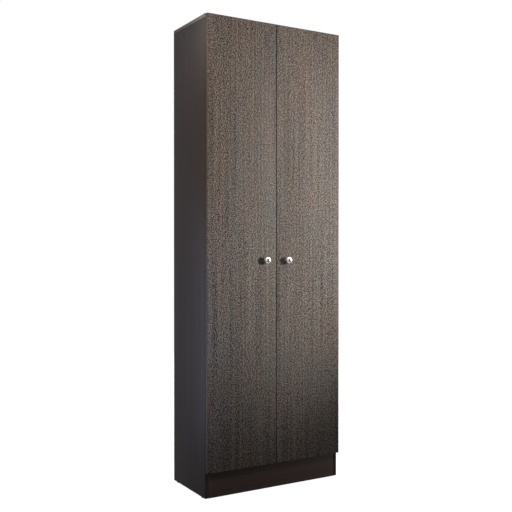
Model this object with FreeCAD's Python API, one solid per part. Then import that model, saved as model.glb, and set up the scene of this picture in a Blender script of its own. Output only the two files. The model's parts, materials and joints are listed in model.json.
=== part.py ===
# Broom cupboard: a tall two-door cupboard of laminated board.
#
# Millimetres, +Z up, front towards -Y. The origin is the middle of the underside of the whole
# cupboard's bounding box. Left and right are as seen from the front. Everything at the left is
# modelled once, and its twin at the right is its mirror image in the plane x = 0.
import FreeCAD, Part
from math import cos, pi, sin
import os

# ---- overall sizes ----
width = 600.0
height = 1800.0
carcass_depth = 280.0        # front edges of the boards to the outer face of the back sheets
board = 15.0                 # side, top, bottom, divider and shelf boards

# ---- base ----
glide_height = 3.0
glide_radius = 7.0
glide_inset = 30.0           # centre of a glide from the front or rear edge of its side panel
glide_nail_radius = 0.8
glide_nail_length = 14.0
plinth_height = 98.0         # floor to the underside of the bottom panel
plinth_board = 15.0

# ---- inside ----
upper_compartment_height = 270.0   # clear, between the upper shelf and the top panel
shelf_count = 3
first_bay_height = 320.0     # clear, under the lowest adjustable shelf
pin_pitch = 32.0             # step of the pin holes
pitches_per_shelf = 11
shelf_setback = 20.0         # front edge of an adjustable shelf behind the carcass front
shelf_rear_gap = 2.0
shelf_end_gap = 0.5          # at each end of an adjustable shelf

# ---- shelf pins ----
pin_radius = 2.5
pin_fit = 0.05               # pin in its hole, on the radius
pin_in = 8.0
pin_out = 7.0
pin_row = 60.0               # front row of holes behind the carcass front
pin_row_spacing = 160.0
hole_depth = 10.0            # depth of a pin hole

# ---- back ----
back_sheet = 3.0
back_inset = 2.0             # edge of the back inside the outline at the sides and the top
back_drop = 13.0             # lower edge of the back below the underside of the bottom panel
strip_web = 1.2
strip_flange = 16.0
back_proud = 0.8             # thickness of the strip's flanges and of the nail heads
strip_end_gap = 0.5
nail_head_radius = 3.5
nail_shank_radius = 0.8
nail_length = 18.0
nail_end_inset = 155.0       # side panels' nails from the upper and lower edges of the back
nail_joint_inset = 100.0     # side panels' nails from the joint between the two sheets
nail_span = 150.0            # nails of the cross boards, each side of the middle

# ---- cam fittings and dowels ----
cam_radius = 7.5
cam_fit = 0.05
cam_depth = 12.5
cam_distance = 34.0          # joint face to the middle of the cam
bolt_radius = 3.0
bolt_bore_radius = 3.5
bolt_grip = 11.0             # threaded length in the other board
bolt_tip_gap = 0.2
joint_inset = 40.0           # fittings behind the front edge and ahead of the rear edge
dowel_radius = 4.0
dowel_fit = 0.05
dowel_long = 20.0            # in the end of a board
dowel_short = 10.0           # in the face of a board
dowel_inset = 60.0

# ---- doors ----
door_board = 15.0
door_gap = 2.0               # doors in front of the carcass
door_margin = 1.0            # door edge inside the outer face of the side panel
door_reveal = 3.0            # door below the top of the cupboard
door_lift = 2.0              # lower edge of the doors above the underside of the bottom panel
meeting_gap = 3.0            # between the two doors
door_edge_radius = 1.0
bumper_radius = 4.0
bumper_thickness = 1.7
bumper_from_middle = 20.0
bumper_from_end = 6.5

# ---- knobs ----
knob_projection = 26.0
knob_head_radius = 14.0
knob_widest = 16.0           # distance of the widest ring from the door
knob_sides = 24              # flats round the knob
knob_flare_steps = 3         # rings from the neck to the widest ring
knob_crown_steps = 5         # rings from the widest ring to the crown
knob_crown_radius = 3.0      # flat at the crown
knob_base_radius = 7.5
knob_base_thickness = 1.2
knob_neck_radius = 4.6
knob_neck_distance = 8.0
knob_level = 886.0
knob_from_middle = 48.5
knob_screw_radius = 2.0
knob_screw_clearance = 0.2
knob_screw_grip = 10.0       # length in the knob
knob_screw_head_radius = 4.0
knob_screw_head = 2.0

# ---- hinges, in plan: u inwards from the side's outer face, v backwards from the carcass front ----
hinge_end_distance = 97.0    # hinge from the end of the door
cup_radius = 17.5
cup_edge = 3.0               # wood between the door's edge and the cup
cup_depth = 12.0
cup_fit = 0.05
cup_floor = 0.8
pocket_length = 24.0         # pocket for the arm, from the cup's edge side inwards
pivot_from_edge = 6.0        # pin's centre from the door's edge
pivot_depth = 8.8            # pin's centre from the door's back face
hinge_pin_radius = 1.2
hinge_pin_half_length = 7.4
pin_running_gap = 0.05
eye_radius = 2.2
eye_sides = 24               # flats round the arm's eye and its hole
arm_half_width = 4.5
arm_side_gap = 0.3           # arm to the sides of the pocket
arm_back_rise = 1.5          # neck's back face behind the pin's centre
arm_front_drop = 1.9         # neck's front face ahead of the pin's centre
neck_clear = 1.9             # upright of the arm inside the side panel's inner face
neck_thickness = 3.0
neck_corner = 2.0
ramp_start = 0.5             # ramp from the upright to the web, behind the carcass front
ramp_end = 7.0
web_thickness = 2.0
web_half_width = 6.5
web_end = 56.0
flange_wall = 1.6
flange_gap = 0.3             # arm's flanges above the plate's wings
plate_thickness = 2.0
plate_screw_row = 37.0       # plate's screws behind the carcass front
plate_screw_spacing = 32.0
plate_half_height = 24.0
plate_wing = 16.0
ridge_height = 7.0
ridge_start = 9.0
ridge_end = 58.0
plate_screw_radius = 2.0
plate_screw_head_radius = 3.8
plate_screw_head = 1.6
plate_screw_length = 12.0
arm_screw_radius = 2.0
arm_screw_head_radius = 3.5
arm_screw_head = 1.5
arm_screw_length = 6.0
arm_screw_row = 46.0         # clamp screw behind the carcass front

# ---- catches ----
catch_from_middle = 60.0
catch_length = 44.0
catch_depth = 14.0
catch_height = 13.0
catch_setback = 0.6
pole_length = 34.0
pole_height = 8.0
pole_depth = 9.0
pole_gap = 0.3               # pole pieces to the strike plate
strike_length = 40.0
strike_height = 11.0
strike_thickness = 1.0

# ---- brackets ----
bracket_thickness = 2.0
bracket_leg = 30.0
plinth_bracket_width = 30.0
plinth_bracket_from_middle = 150.0
wall_bracket_width = 60.0
wall_hole_radius = 2.75
wall_hole_spacing = 40.0
wall_hole_drop = 17.0        # wall holes below the top panel
wall_slot_half_height = 4.5  # slot in the back sheet for the wall screws
bracket_screw_radius = 1.8
bracket_screw_head_radius = 3.5
bracket_screw_head = 1.2
bracket_screw_length = 12.0
bracket_screw_from_corner = 18.0

# ---- flats of the small hidden fasteners, whose plain forms stand in for turned ones ----
peg_sides = 12               # pegs, pads, and the holes they sit in
bolt_sides = 8               # cam bolts, their bores, and the heads of screws and nails
shank_sides = 4              # shanks of screws and nails

# ---- planes worked out from the sizes above ----
half_width = width / 2
inner_x = half_width - board
divider_x = board / 2
board_depth = carcass_depth - back_sheet
total_depth = knob_projection + door_board + door_gap + carcass_depth + back_proud
front_y = knob_projection + door_board + door_gap - total_depth / 2
rear_y = front_y + board_depth
back_y = rear_y + back_sheet
door_back_y = front_y - door_gap
door_front_y = door_back_y - door_board
bottom_top = plinth_height + board
side_top = height - board
upper_shelf_top = side_top - upper_compartment_height
upper_shelf_level = upper_shelf_top - board
door_bottom = plinth_height + door_lift
door_top = height - door_reveal
back_bottom = plinth_height - back_drop
back_top = height - back_inset
back_joint_level = (back_bottom + back_top) / 2
shelf_step = pitches_per_shelf * pin_pitch
shelf_levels = [bottom_top + first_bay_height + row * shelf_step for row in range(shelf_count)]
pin_rows = [front_y + pin_row, front_y + pin_row + pin_row_spacing]
joint_rows = [front_y + joint_inset, rear_y - joint_inset]
dowel_rows = [front_y + dowel_inset, rear_y - dowel_inset]
hinge_levels = (
    door_bottom + hinge_end_distance,
    (door_bottom + door_top) / 2,
    door_top - hinge_end_distance,
)
pivot_u = door_margin + pivot_from_edge
pivot_v = -door_gap - pivot_depth
cup_u = door_margin + cup_edge + cup_radius
ridge_top = board + ridge_height

V = FreeCAD.Vector
LEFT, RIGHT = V(-1, 0, 0), V(1, 0, 0)
FORWARD, BACKWARD = V(0, -1, 0), V(0, 1, 0)
DOWN, UP = V(0, 0, -1), V(0, 0, 1)


# ---- shapes that repeat ----
def block(x_range, y_range, z_range):
    """A box between two values on each axis."""
    low = V(min(x_range), min(y_range), min(z_range))
    high = V(max(x_range), max(y_range), max(z_range))
    size = high - low
    return Part.makeBox(size.x, size.y, size.z, low)


def rod(radius, start, axis, length):
    return Part.makeCylinder(radius, length, start, axis)


def ring_corners(radius, sides, middle, axis):
    """The corners of a regular ring round an axis, with the first one repeated at the end."""
    first = V(0, 0, 1) if abs(axis.z) < 0.5 else V(1, 0, 0)
    second = axis.cross(first)
    corners = []
    for number in range(sides):
        angle = 2 * pi * (number + 0.5) / sides
        corners.append(middle + first * (radius * cos(angle)) + second * (radius * sin(angle)))
    return corners + corners[:1]


def prism(radius, sides, start, axis, length):
    """A straight bar with a regular outline, a small fastener's plain form."""
    outline = Part.makePolygon(ring_corners(radius, sides, start, axis))
    return Part.Face(outline).extrude(axis * length)


def carved(solid, tools):
    """The solid with all the tools cut away."""
    return solid.cut(tools).Solids[0]


def joined(pieces):
    """One solid from pieces that share faces or overlap."""
    return pieces[0].multiFuse(pieces[1:]).removeSplitter().Solids[0]


def mirrored(shape):
    return shape.mirror(V(0, 0, 0), V(1, 0, 0))


def both(shapes):
    """The shapes at the left and their twins at the right."""
    return shapes + [mirrored(shape) for shape in shapes]


def screw(head_radius, head, radius, length, seat, into):
    """A screw or nail with its head on the seat and its shank going into the material."""
    cap = prism(head_radius, bolt_sides, seat, into * -1, head)
    shank = prism(radius, shank_sides, seat, into, length)
    return joined([cap, shank])


def save(node, pieces):
    shape = pieces[0] if len(pieces) == 1 else Part.makeCompound(pieces)
    shape.exportStep(os.path.join("parts", node + ".step"))


# ---- cam fittings: a point of the joint face, the way to the cam, the way from its mouth inwards ----
def top_joints():
    x = (inner_x + half_width) / 2
    return [(V(-x, y, side_top), DOWN, LEFT) for y in joint_rows]


def panel_joints(underside):
    """The joints of a horizontal panel, whose cams are let into its underside."""
    return [(V(-inner_x, y, underside + board / 2), RIGHT, UP) for y in joint_rows]


def cam(joint, radius):
    point, way, inwards = joint
    mouth = point + way * cam_distance - inwards * (board / 2)
    return prism(radius, peg_sides, mouth, inwards, cam_depth)


def cam_cuts(joints):
    """The seat of each cam and the bore that leads its bolt to it."""
    bores = [prism(bolt_bore_radius, bolt_sides, point, way, cam_distance) for point, way, _ in joints]
    return [cam(joint, cam_radius) for joint in joints] + bores


def cam_bolt(joint):
    point, way, _ = joint
    reach = bolt_grip + cam_distance - cam_radius - bolt_tip_gap
    return prism(bolt_radius, bolt_sides, point - way * bolt_grip, way, reach)


# ---- dowels: a point of the joint face and the way into the end of the board ----
def divider_dowels():
    """The dowels at the top of the centre divider and those at its foot."""
    at_top = [(V(0, y, upper_shelf_level), DOWN) for y in dowel_rows]
    at_foot = [(V(0, y, bottom_top), UP) for y in dowel_rows]
    return at_top, at_foot


def plinth_dowels():
    level = (glide_height + plinth_height) / 2
    return [(V(-inner_x, front_y + plinth_board / 2, level), RIGHT)]


def dowel_hole(place):
    point, way = place
    return prism(dowel_radius, peg_sides, point - way * dowel_short, way, dowel_short + dowel_long)


def dowel(place):
    point, way = place
    start = point - way * dowel_short
    return prism(dowel_radius - dowel_fit, peg_sides, start, way, dowel_short + dowel_long)


# ---- shelf pins ----
def pin_places(face_x, into, levels):
    """Points on a bay's wall, one per hole, at the middle of the hole's mouth."""
    return [(V(face_x, y, level - pin_radius), into) for level in levels for y in pin_rows]


def bay_walls(levels):
    return pin_places(inner_x, RIGHT, levels), pin_places(divider_x, LEFT, levels)


def spare_levels():
    """The free holes, one step above the middle shelf."""
    return [shelf_levels[len(shelf_levels) // 2] + pin_pitch]


def pin_hole(place):
    point, into = place
    return prism(pin_radius, peg_sides, point, into, hole_depth)


def spare_hole(place):
    point, into = place
    return rod(pin_radius, point, into, hole_depth)


def shelf_pin(place):
    point, into = place
    return prism(pin_radius - pin_fit, peg_sides, point - into * pin_out, into, pin_out + pin_in)


# ---- boards ----
def side_panel():
    """The left side, whose twin is the right side before its pin holes are drilled."""
    panel = block((-half_width, -inner_x), (front_y, rear_y), (glide_height, side_top))
    return carved(panel, cam_cuts(top_joints()) + [dowel_hole(place) for place in plinth_dowels()])


def bay_wall_holes(side):
    """The pin holes of one wall of the right bay: 0 for the side panel, 1 for the divider."""
    used = [pin_hole(place) for place in bay_walls(shelf_levels)[side]]
    return used + [spare_hole(place) for place in bay_walls(spare_levels())[side]]


def top_panel():
    return block((-half_width, half_width), (front_y, rear_y), (side_top, height))


def bottom_panel():
    panel = block((-inner_x, inner_x), (front_y, rear_y), (plinth_height, bottom_top))
    _, at_foot = divider_dowels()
    return carved(panel, both(cam_cuts(panel_joints(plinth_height))) + [dowel_hole(p) for p in at_foot])


def upper_shelf():
    panel = block((-inner_x, inner_x), (front_y, rear_y), (upper_shelf_level, upper_shelf_top))
    at_top, _ = divider_dowels()
    return carved(panel, both(cam_cuts(panel_joints(upper_shelf_level))) + [dowel_hole(p) for p in at_top])


def centre_divider():
    panel = block((-divider_x, divider_x), (front_y, rear_y), (bottom_top, upper_shelf_level))
    at_top, at_foot = divider_dowels()
    return carved(panel, [dowel_hole(place) for place in at_top + at_foot] + bay_wall_holes(1))


def plinth():
    panel = block((-inner_x, inner_x), (front_y, front_y + plinth_board), (glide_height, plinth_height))
    return carved(panel, both([dowel_hole(place) for place in plinth_dowels()]))


def adjustable_shelf(level):
    return block(
        (divider_x + shelf_end_gap, inner_x - shelf_end_gap),
        (front_y + shelf_setback, rear_y - shelf_rear_gap),
        (level, level + board),
    )


# ---- back ----
def back_sheet_between(low, high):
    reach = half_width - back_inset
    return block((-reach, reach), (rear_y, back_y), (low, high))


def back_upper_sheet():
    """The upper sheet, with a slot for the wall screws behind the wall bracket."""
    sheet = back_sheet_between(back_joint_level + strip_web / 2, back_top)
    level = side_top - wall_hole_drop
    half_length = wall_hole_spacing / 2 + wall_slot_half_height
    slot_z = (level - wall_slot_half_height, level + wall_slot_half_height)
    return carved(sheet, [block((-half_length, half_length), (rear_y, back_y), slot_z)])


def back_lower_sheet():
    return back_sheet_between(back_bottom, back_joint_level - strip_web / 2)


def joining_strip():
    """An H section: a web between the sheets, a flange outside and one inside each bay."""
    reach = half_width - back_inset
    web_z = (back_joint_level - strip_web / 2, back_joint_level + strip_web / 2)
    flange_z = (back_joint_level - strip_flange / 2, back_joint_level + strip_flange / 2)
    web = block((-reach, reach), (rear_y, back_y), web_z)
    outside = block((-reach, reach), (back_y, back_y + back_proud), flange_z)
    bay_x = (-inner_x + strip_end_gap, -divider_x - strip_end_gap)
    inside = block(bay_x, (rear_y - back_proud, rear_y), flange_z)
    return joined([web, outside] + both([inside]))


def nail_places():
    """Two nails to each sheet in each side panel, two in each cross board, one to each in the divider."""
    edge = (inner_x + half_width) / 2
    lower_sheet = [back_bottom + nail_end_inset, back_joint_level - nail_joint_inset]
    upper_sheet = [back_joint_level + nail_joint_inset, back_top - nail_end_inset]
    places = [(x, level) for x in (-edge, edge) for level in lower_sheet + upper_sheet]
    for level in (plinth_height + board / 2, upper_shelf_level + board / 2, height - board / 2):
        places += [(-nail_span, level), (nail_span, level)]
    return places + [(0, lower_sheet[0]), (0, upper_sheet[0])]


def back_nails():
    nails = []
    for x, z in nail_places():
        sizes = (nail_head_radius, back_proud, nail_shank_radius, nail_length)
        nails.append(screw(*sizes, V(x, back_y, z), FORWARD))
    return nails


# ---- base fittings ----
def floor_glide(y):
    x = -(inner_x + half_width) / 2
    pad = prism(glide_radius, peg_sides, V(x, y, 0), UP, glide_height)
    nail = prism(glide_nail_radius, shank_sides, V(x, y, glide_height), UP, glide_nail_length)
    return joined([pad, nail])


def angle_bracket(middle, half, corner_y, corner_z, way_y):
    """Two legs from a corner: one flat under a board, one upright against another."""
    x = (middle - half, middle + half)
    flat = block(x, (corner_y, corner_y + way_y * bracket_leg), (corner_z, corner_z - bracket_thickness))
    upright = block(x, (corner_y, corner_y + way_y * bracket_thickness), (corner_z, corner_z - bracket_leg))
    return joined([flat, upright])


def bracket_screw(seat, into):
    sizes = (bracket_screw_head_radius, bracket_screw_head, bracket_screw_radius, bracket_screw_length)
    return screw(*sizes, seat, into)


def plinth_bracket():
    half = plinth_bracket_width / 2
    return angle_bracket(-plinth_bracket_from_middle, half, front_y + plinth_board, plinth_height, 1)


def plinth_bracket_screws():
    """One screw up into the bottom panel and one forwards into the plinth board."""
    x = -plinth_bracket_from_middle
    corner_y = front_y + plinth_board
    up_seat = V(x, corner_y + bracket_screw_from_corner, plinth_height - bracket_thickness)
    forward_seat = V(x, corner_y + bracket_thickness, plinth_height - bracket_screw_from_corner)
    return [bracket_screw(up_seat, UP), bracket_screw(forward_seat, FORWARD)]


def wall_bracket():
    bracket = angle_bracket(0, wall_bracket_width / 2, rear_y, side_top, -1)
    start_y = rear_y - bracket_thickness
    places = [V(way * wall_hole_spacing / 2, start_y, side_top - wall_hole_drop) for way in (-1, 1)]
    return carved(bracket, [rod(wall_hole_radius, place, BACKWARD, bracket_thickness) for place in places])


def wall_bracket_screws():
    y = rear_y - bracket_screw_from_corner
    z = side_top - bracket_thickness
    return [bracket_screw(V(x, y, z), UP) for x in (-wall_hole_spacing / 2, wall_hole_spacing / 2)]


# ---- catches, at the left of the middle ----
def pole_pieces():
    """The pair of steel poles with the magnet between them, as one block in the housing."""
    half = pole_length / 2
    level = side_top - catch_height / 2
    front = door_back_y + strike_thickness + pole_gap
    return block(
        (-catch_from_middle - half, -catch_from_middle + half),
        (front, front + pole_depth),
        (level - pole_height / 2, level + pole_height / 2),
    )


def catch_housing():
    half = catch_length / 2
    start = front_y + catch_setback
    housing = block(
        (-catch_from_middle - half, -catch_from_middle + half),
        (start, start + catch_depth),
        (side_top - catch_height, side_top),
    )
    return carved(housing, [pole_pieces()])


def strike_plate():
    half = strike_length / 2
    level = side_top - catch_height / 2
    return block(
        (-catch_from_middle - half, -catch_from_middle + half),
        (door_back_y, door_back_y + strike_thickness),
        (level - strike_height / 2, level + strike_height / 2),
    )


# ---- the left door ----
def door_panel():
    """A slab with softened upright edges, bored for its cups and its knob screw."""
    x_range = (-half_width + door_margin, -meeting_gap / 2)
    slab = block(x_range, (door_front_y, door_back_y), (door_bottom, door_top))
    upright = [edge for edge in slab.Edges if abs(edge.tangentAt(edge.FirstParameter).z) > 0.5]
    slab = slab.makeFillet(door_edge_radius, upright)
    bores = [rod(cup_radius, plan(cup_u, -door_gap, z), FORWARD, cup_depth) for z in hinge_levels]
    hole_radius = knob_screw_radius + knob_screw_clearance
    seat = V(-knob_from_middle, door_back_y, knob_level)
    knob_hole = prism(hole_radius, peg_sides, seat, FORWARD, door_board)
    return carved(slab, bores + [knob_hole])


def bumpers():
    levels = (door_bottom + bumper_from_end, door_top - bumper_from_end)
    places = [V(-bumper_from_middle, door_back_y, level) for level in levels]
    return [prism(bumper_radius, peg_sides, place, BACKWARD, bumper_thickness) for place in places]


def knob_profile():
    """Radius and distance from the door: foot, waisted neck, flare and elliptic crown."""
    profile = [(knob_base_radius, 0.0), (knob_base_radius, knob_base_thickness)]
    flare = knob_head_radius - knob_neck_radius
    for step in range(knob_flare_steps + 1):
        angle = pi / 2 * step / knob_flare_steps
        distance = knob_widest - (knob_widest - knob_neck_distance) * cos(angle)
        profile.append((knob_neck_radius + flare * sin(angle), distance))
    rise = knob_projection - knob_widest
    for step in range(1, knob_crown_steps):
        angle = pi / 2 * step / knob_crown_steps
        profile.append((knob_head_radius * cos(angle), knob_widest + rise * sin(angle)))
    return profile + [(knob_crown_radius, knob_projection)]


def ringed_solid(rings):
    """A solid with flat faces between rings that have as many corners, closed at both ends."""
    faces = [Part.Face(Part.makePolygon(rings[0])), Part.Face(Part.makePolygon(rings[-1]))]
    for ring, following in zip(rings, rings[1:]):
        for side in range(len(ring) - 1):
            corners = [ring[side], ring[side + 1], following[side + 1], following[side], ring[side]]
            faces.append(Part.Face(Part.makePolygon(corners)))
    return Part.Solid(Part.Shell(faces))


def knob():
    """The profile turned in flats, with a threaded hole in the foot for the screw."""
    seat = V(-knob_from_middle, door_front_y, knob_level)
    profile = knob_profile()
    rings = [ring_corners(r, knob_sides, seat + FORWARD * distance, FORWARD) for r, distance in profile]
    hole = prism(knob_screw_radius, peg_sides, seat, FORWARD, knob_screw_grip)
    return carved(ringed_solid(rings), [hole])


def knob_screw():
    seat = V(-knob_from_middle, door_back_y, knob_level)
    head = prism(knob_screw_head_radius, peg_sides, seat, BACKWARD, knob_screw_head)
    shank = prism(knob_screw_radius, peg_sides, seat, FORWARD, door_board + knob_screw_grip)
    return joined([head, shank])


# ---- one hinge at the left, at the height given ----
def plan(u, v, z):
    """A point from its place in plan: inwards from the side's outer face, back from the front."""
    return V(-half_width + u, front_y + v, z)


def plan_block(u_range, v_range, z_range):
    low = plan(min(u_range), min(v_range), min(z_range))
    high = plan(max(u_range), max(v_range), max(z_range))
    return block((low.x, high.x), (low.y, high.y), (low.z, high.z))


def hinge_cup(level):
    """A round plug pressed into the door, with a pocket for the arm and a bore for its pin."""
    plug = rod(cup_radius - cup_fit, plan(cup_u, -door_gap, level), FORWARD, cup_depth)
    near_u = cup_u - cup_radius
    slot_half = arm_half_width + arm_side_gap
    pocket_v = (-door_gap - cup_depth + cup_floor, -door_gap)
    pocket = plan_block((near_u, near_u + pocket_length), pocket_v, (level - slot_half, level + slot_half))
    bore_radius = hinge_pin_radius / cos(pi / peg_sides)
    bore_start = plan(pivot_u, pivot_v, level - hinge_pin_half_length)
    bore = prism(bore_radius, peg_sides, bore_start, UP, 2 * hinge_pin_half_length)
    return carved(plug, [pocket, bore])


def hinge_pin(level):
    start = plan(pivot_u, pivot_v, level - hinge_pin_half_length)
    return rod(hinge_pin_radius, start, UP, 2 * hinge_pin_half_length)


def hinge_arm(level):
    """A gooseneck from the pin's eye, out of the cup, to a channel over the plate's ridge."""
    neck_u = board + neck_clear
    web_u = ridge_top + web_thickness
    front_v = pivot_v - arm_front_drop
    back_v = pivot_v + arm_back_rise
    low = level - arm_half_width
    corners = [
        (pivot_u, front_v),
        (neck_u + neck_thickness, front_v),
        (neck_u + neck_thickness, ramp_start),
        (web_u, ramp_end - web_thickness),
        (web_u, ramp_end + web_thickness),
        (ridge_top, ramp_end + web_thickness),
        (ridge_top, ramp_end),
        (neck_u, ramp_start + web_thickness),
        (neck_u, back_v),
        (pivot_u, back_v),
    ]
    points = [plan(u, v, low) for u, v in corners]
    neck = Part.Face(Part.makePolygon(points + points[:1])).extrude(UP * (2 * arm_half_width))
    bend = plan(neck_u + neck_thickness, front_v, level)
    outer_bend = min(neck.Edges, key=lambda edge: (edge.CenterOfMass - bend).Length)
    neck = neck.makeFillet(neck_corner, [outer_bend])
    eye = prism(eye_radius, eye_sides, plan(pivot_u, pivot_v, low), UP, 2 * arm_half_width)
    web_z = (level - web_half_width, level + web_half_width)
    web = plan_block((ridge_top, web_u), (ramp_end + web_thickness, web_end), web_z)
    flange_u = (board + plate_thickness + flange_gap, ridge_top)
    flange_v = (ramp_end + web_thickness, web_end)
    outer, inner = web_half_width, web_half_width - flange_wall
    lower = plan_block(flange_u, flange_v, (level - outer, level - inner))
    upper = plan_block(flange_u, flange_v, (level + inner, level + outer))
    body = joined([neck, eye, web, lower, upper])
    hole_radius = (hinge_pin_radius + pin_running_gap) / cos(pi / eye_sides)
    return carved(body, [prism(hole_radius, eye_sides, plan(pivot_u, pivot_v, low), UP, 2 * arm_half_width)])


def hinge_plate(level):
    """Two thin wings for the screws and a ridge between them that carries the arm."""
    wing_v = (plate_screw_row - plate_wing / 2, plate_screw_row + plate_wing / 2)
    wing_z = (level - plate_half_height, level + plate_half_height)
    wings = plan_block((board, board + plate_thickness), wing_v, wing_z)
    ridge_half = web_half_width - flange_wall - flange_gap
    ridge_v = (ridge_start, ridge_end)
    ridge = plan_block((board, ridge_top), ridge_v, (level - ridge_half, level + ridge_half))
    return joined([wings, ridge])


def plate_screws(level):
    sizes = (plate_screw_head_radius, plate_screw_head, plate_screw_radius, plate_screw_length)
    seat_u = board + plate_thickness
    levels = (level - plate_screw_spacing / 2, level + plate_screw_spacing / 2)
    return [screw(*sizes, plan(seat_u, plate_screw_row, z), LEFT) for z in levels]


def arm_screw(level):
    """The clamp screw that holds the arm to the ridge."""
    sizes = (arm_screw_head_radius, arm_screw_head, arm_screw_radius, arm_screw_length)
    return screw(*sizes, plan(ridge_top + web_thickness, arm_screw_row, level), LEFT)


# ---- the files ----
def save_boards():
    save("left_side", [side_panel()])
    save("right_side", [carved(mirrored(side_panel()), bay_wall_holes(0))])
    save("top_panel", [top_panel()])
    save("bottom_panel", [bottom_panel()])
    save("upper_shelf", [upper_shelf()])
    save("centre_divider", [centre_divider()])
    save("plinth_board", [plinth()])
    for number, level in enumerate(shelf_levels, start=1):
        save("adjustable_shelf_%d" % number, [adjustable_shelf(level)])
    save("back_upper_sheet", [back_upper_sheet()])
    save("back_lower_sheet", [back_lower_sheet()])


def save_fittings():
    joints = top_joints() + panel_joints(plinth_height) + panel_joints(upper_shelf_level)
    at_top, at_foot = divider_dowels()
    plinth_pair = both([dowel(place) for place in plinth_dowels()])
    right_wall, divider_wall = bay_walls(shelf_levels)
    save("back_joining_strip", [joining_strip()])
    save("back_nails", back_nails())
    save("cam_housings", both([cam(joint, cam_radius - cam_fit) for joint in joints]))
    save("cam_bolts", both([cam_bolt(joint) for joint in joints]))
    save("dowels", [dowel(place) for place in at_top + at_foot] + plinth_pair)
    save("shelf_pins", [shelf_pin(place) for place in right_wall + divider_wall])
    save("floor_glides", both([floor_glide(front_y + glide_inset), floor_glide(rear_y - glide_inset)]))
    save("plinth_brackets", both([plinth_bracket()]))
    save("plinth_bracket_screws", both(plinth_bracket_screws()))
    save("wall_bracket", [wall_bracket()])
    save("wall_bracket_screws", wall_bracket_screws())
    save("catch_housings", both([catch_housing()]))
    save("catch_poles", both([pole_pieces()]))


def save_pairs():
    """The doors and their hinges: each node of the left, and its mirror image for the right."""
    pieces = {
        "hinge_cups": [hinge_cup(level) for level in hinge_levels],
        "hinge_pins": [hinge_pin(level) for level in hinge_levels],
        "hinge_arms": [hinge_arm(level) for level in hinge_levels],
        "hinge_plates": [hinge_plate(level) for level in hinge_levels],
        "hinge_plate_screws": [piece for level in hinge_levels for piece in plate_screws(level)],
        "hinge_arm_screws": [arm_screw(level) for level in hinge_levels],
        "door_panel": [door_panel()],
        "door_bumpers": bumpers(),
        "knob": [knob()],
        "knob_screw": [knob_screw()],
        "strike_plate": [strike_plate()],
    }
    for name, shapes in pieces.items():
        save("left_" + name, shapes)
        save("right_" + name, [mirrored(shape) for shape in shapes])


os.makedirs("parts", exist_ok=True)
save_boards()
save_fittings()
save_pairs()
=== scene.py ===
"""Finishes and fine detail of a tall two-door broom cupboard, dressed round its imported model.

Metres, +Z up, the doors towards -Y. Left and right are as seen from the front. Boards, fittings
and fasteners are closed surfaces worked out as whole arrays; the finishes are laminate prints,
plated metal and plastic made of noise in the cupboard's own coordinates.
"""
import json
from math import pi, radians

import bmesh
import bpy
import numpy as np
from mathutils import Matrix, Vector


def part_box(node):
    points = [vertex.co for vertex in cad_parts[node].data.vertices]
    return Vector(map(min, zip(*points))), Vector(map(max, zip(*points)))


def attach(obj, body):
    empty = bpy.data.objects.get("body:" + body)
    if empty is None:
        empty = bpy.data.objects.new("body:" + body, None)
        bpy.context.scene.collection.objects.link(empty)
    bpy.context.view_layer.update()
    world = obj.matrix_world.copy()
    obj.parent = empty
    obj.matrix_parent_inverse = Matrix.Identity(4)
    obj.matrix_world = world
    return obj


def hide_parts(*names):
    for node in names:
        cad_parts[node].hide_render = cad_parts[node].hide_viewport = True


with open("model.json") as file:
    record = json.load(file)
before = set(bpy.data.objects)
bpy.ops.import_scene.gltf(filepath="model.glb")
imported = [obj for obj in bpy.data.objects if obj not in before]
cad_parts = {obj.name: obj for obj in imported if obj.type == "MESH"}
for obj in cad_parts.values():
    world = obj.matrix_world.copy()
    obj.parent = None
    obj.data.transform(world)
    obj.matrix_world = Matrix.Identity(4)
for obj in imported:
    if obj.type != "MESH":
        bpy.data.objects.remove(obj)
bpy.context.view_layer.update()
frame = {"nodes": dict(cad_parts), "record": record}

MM = 0.001
X, Y, Z = np.eye(3)
ACROSS, THROUGH, UP = 0, 1, 2    # the same three ways, as numbers of an axis
SIDES = ("left", "right")

# ---- edges and meshes ----
board_softening = 0.5 * MM       # rounding of a board's edges
carcass_softening = 2.2 * MM     # of the sides and the top, which leaves a groove at their joint
door_softening = 0.6 * MM
sheet_metal_softening = 0.25 * MM
plastic_softening = 0.6 * MM
strip_softening = 0.2 * MM       # of the strip that joins the sheets of the back
rounded_share = 0.6              # how deep the faces of a rounded corner reach, as a share of its radius
flat_normal = 0.7                # a normal with less of the thin way than this is on a board's edge
edge_normal = 0.35               # and on each edge whose way it has more of than this
weld = 0.001 * MM                # points that lie closer are one
sharp_edge = radians(32)         # an edge that turns more looks sharp
bevelled_edge = radians(40)      # an edge of a fitting that turns more is rounded
flat_edge = radians(1)           # faces of a fitting whose edge turns less are joined
round_sides = 48                 # flats round a turned piece, where no other number is given
knob_sides, cup_sides, peg_sides, glide_sides, nail_sides, shank_sides = 96, 72, 32, 32, 24, 16

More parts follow.
